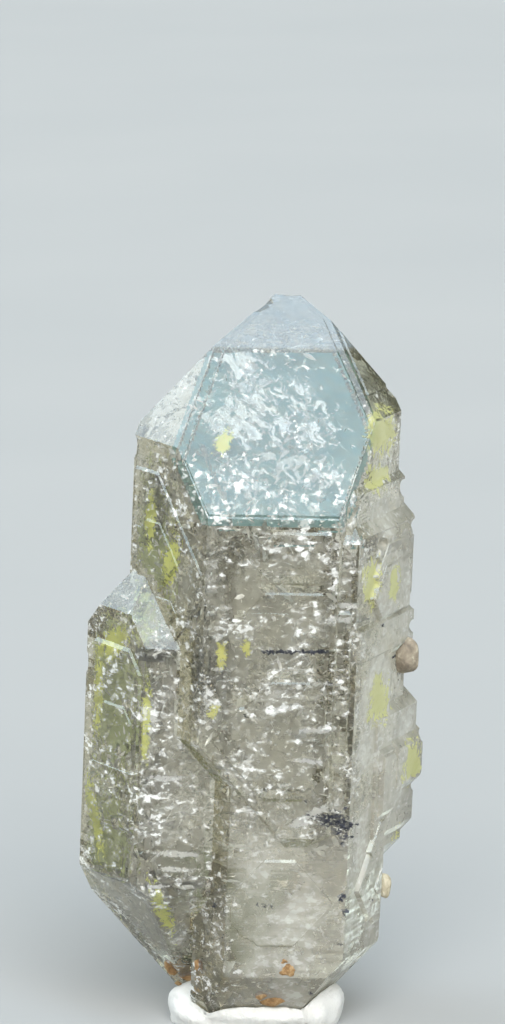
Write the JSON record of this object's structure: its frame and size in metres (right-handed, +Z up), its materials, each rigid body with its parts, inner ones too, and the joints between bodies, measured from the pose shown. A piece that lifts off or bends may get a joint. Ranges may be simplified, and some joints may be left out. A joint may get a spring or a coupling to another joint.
{
  "type": "quartz crystal point cluster",
  "caption": "Upright cluster of parallel-grown clear quartz points with smoky and yellow tints and dark flecks, standing in a small pad of white mounting putty.",
  "frame": {"origin": "centre of the object's bounding box at the flat underside of the putty pad", "axes": "+Z up along the crystal's height, +X to the right and +Y to the back as seen from the front face"},
  "size_m": [0.0244, 0.0212, 0.0515],
  "materials": {
    "quartz": "natural transparent quartz, flat bright faces with growth steps",
    "putty": "soft white mounting putty, matte",
    "matrix": "dull earthy grains of host rock"
  },
  "bodies": {
    "root": {"crystal": "quartz", "putty_pad": "putty", "matrix_grain_upper": "matrix", "matrix_grain_lower": "matrix"}
  },
  "joints": []
}
